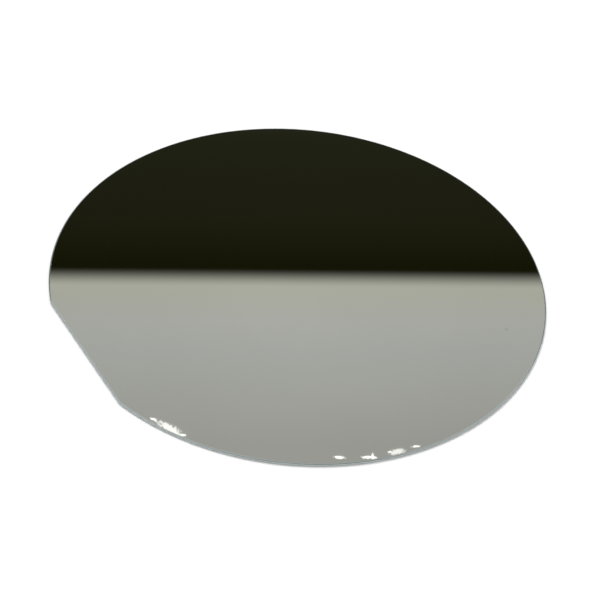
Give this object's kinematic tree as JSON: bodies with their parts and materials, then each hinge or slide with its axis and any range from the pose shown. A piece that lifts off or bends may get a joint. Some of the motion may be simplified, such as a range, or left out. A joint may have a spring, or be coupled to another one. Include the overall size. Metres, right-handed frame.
{
  "type": "semiconductor wafer",
  "caption": "Thin round slice of silicon crystal with a mirror-polished face, a straight flat cut on its rim and a bevelled, rounded edge.",
  "frame": {"origin": "centre of the round outline, on the back face that the wafer lies on", "axes": "+Z out of the polished face, through the thickness; -Y out of the primary flat; X along the primary flat, across the full diameter"},
  "size_m": [0.1, 0.0977, 0.0005],
  "materials": {
    "polished_silicon": "mirror-polished upper face, satin ground edge, fine-etched matt grey back"
  },
  "bodies": {
    "root": {"wafer": "polished_silicon"}
  },
  "joints": []
}
